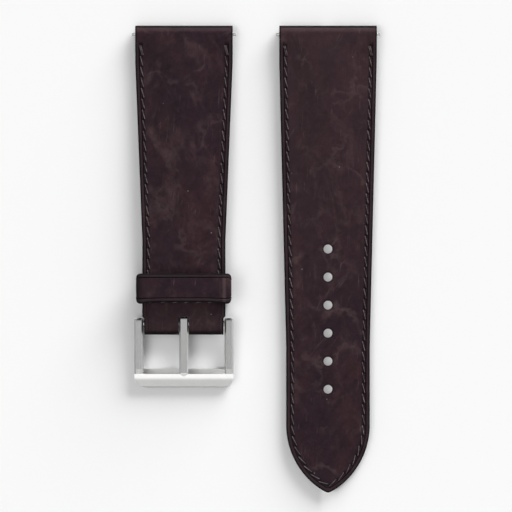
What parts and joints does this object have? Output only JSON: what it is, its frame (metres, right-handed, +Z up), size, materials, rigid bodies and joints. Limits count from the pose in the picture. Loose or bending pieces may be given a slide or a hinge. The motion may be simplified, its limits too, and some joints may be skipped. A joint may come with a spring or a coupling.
{
  "type": "leather watch strap",
  "caption": "Two-piece padded leather watch strap with saddle stitching, a sliding keeper, spring bars and a pin buckle with frame and tongue.",
  "frame": {"origin": "on the surface that the strap lies on, under the middle of the pair of pieces", "axes": "+Y towards the lug ends, +X from the buckle piece to the hole piece, +Z up out of the outer leather"},
  "size_m": [0.0612, 0.115, 0.0082],
  "materials": {
    "leather": "dark aubergine brown, waxed pull-up, semi matt",
    "lining": "dark brown suede-like lining",
    "filler": "felt filler",
    "thread": "waxed polyester thread",
    "frame_steel": "satin stainless steel, fine brushed",
    "tongue_steel": "satin stainless steel",
    "bar_steel": "turned stainless steel",
    "spring_steel": "bright spring wire"
  },
  "bodies": {
    "buckle_half": {"buckle_side_top_leather": "leather", "buckle_side_padding": "filler", "buckle_side_lining": "lining", "buckle_side_thread_a": "thread", "buckle_side_thread_b": "thread", "buckle_side_lug_bar_tube": "bar_steel", "buckle_side_lug_bar_spring": "spring_steel", "buckle_bar_tube": "bar_steel", "buckle_bar_spring": "spring_steel"},
    "hole_half": {"hole_side_top_leather": "leather", "hole_side_padding": "filler", "hole_side_lining": "lining", "hole_side_thread_a": "thread", "hole_side_thread_b": "thread", "hole_side_lug_bar_tube": "bar_steel", "hole_side_lug_bar_spring": "spring_steel"},
    "keeper": {"keeper_band": "leather", "keeper_thread": "thread"},
    "frame": {"buckle_frame": "frame_steel"},
    "tongue": {"buckle_tongue": "tongue_steel"},
    "buckle_side_lug_bar_tip_left": {"buckle_side_lug_bar_tip_left": "bar_steel"},
    "buckle_side_lug_bar_tip_right": {"buckle_side_lug_bar_tip_right": "bar_steel"},
    "hole_side_lug_bar_tip_left": {"hole_side_lug_bar_tip_left": "bar_steel"},
    "hole_side_lug_bar_tip_right": {"hole_side_lug_bar_tip_right": "bar_steel"},
    "buckle_bar_tip_left": {"buckle_bar_tip_left": "bar_steel"},
    "buckle_bar_tip_right": {"buckle_bar_tip_right": "bar_steel"}
  },
  "joints": [
    {"name": "hole_half_apart", "type": "slide", "parent": "buckle_half", "child": "hole_half", "axis": [1, 0, 0], "range_m": [0, 0.04]},
    {"name": "keeper_slide", "type": "slide", "parent": "buckle_half", "child": "keeper", "axis": [0, 1, 0], "range_m": [-0.0028, 0.01]},
    {"name": "frame_swing", "type": "hinge", "parent": "buckle_half", "child": "frame", "pos_m": [-0.01775, -0.01584, 0.0031], "axis": [-1, 0, 0], "range_deg": [-25, 30]},
    {"name": "tongue_swing", "type": "hinge", "parent": "frame", "child": "tongue", "pos_m": [-0.01775, -0.01584, 0.0031], "axis": [-1, 0, 0], "range_deg": [0, 60]},
    {"name": "buckle_side_lug_bar_tip_left_push", "type": "slide", "parent": "buckle_half", "child": "buckle_side_lug_bar_tip_left", "axis": [1, 0, 0], "range_m": [0, 0.0014], "stiffness_N_per_m": 500, "deforming": ["buckle_side_lug_bar_spring"]},
    {"name": "buckle_side_lug_bar_tip_right_push", "type": "slide", "parent": "buckle_half", "child": "buckle_side_lug_bar_tip_right", "axis": [-1, 0, 0], "range_m": [0, 0.0014], "stiffness_N_per_m": 500, "deforming": ["buckle_side_lug_bar_spring"]},
    {"name": "hole_side_lug_bar_tip_left_push", "type": "slide", "parent": "hole_half", "child": "hole_side_lug_bar_tip_left", "axis": [1, 0, 0], "range_m": [0, 0.0014], "stiffness_N_per_m": 500, "deforming": ["hole_side_lug_bar_spring"]},
    {"name": "hole_side_lug_bar_tip_right_push", "type": "slide", "parent": "hole_half", "child": "hole_side_lug_bar_tip_right", "axis": [-1, 0, 0], "range_m": [0, 0.0014], "stiffness_N_per_m": 500, "deforming": ["hole_side_lug_bar_spring"]},
    {"name": "buckle_bar_tip_left_push", "type": "slide", "parent": "buckle_half", "child": "buckle_bar_tip_left", "axis": [1, 0, 0], "range_m": [0, 0.0014], "stiffness_N_per_m": 500, "deforming": ["buckle_bar_spring"]},
    {"name": "buckle_bar_tip_right_push", "type": "slide", "parent": "buckle_half", "child": "buckle_bar_tip_right", "axis": [-1, 0, 0], "range_m": [0, 0.0014], "stiffness_N_per_m": 500, "deforming": ["buckle_bar_spring"]}
  ]
}
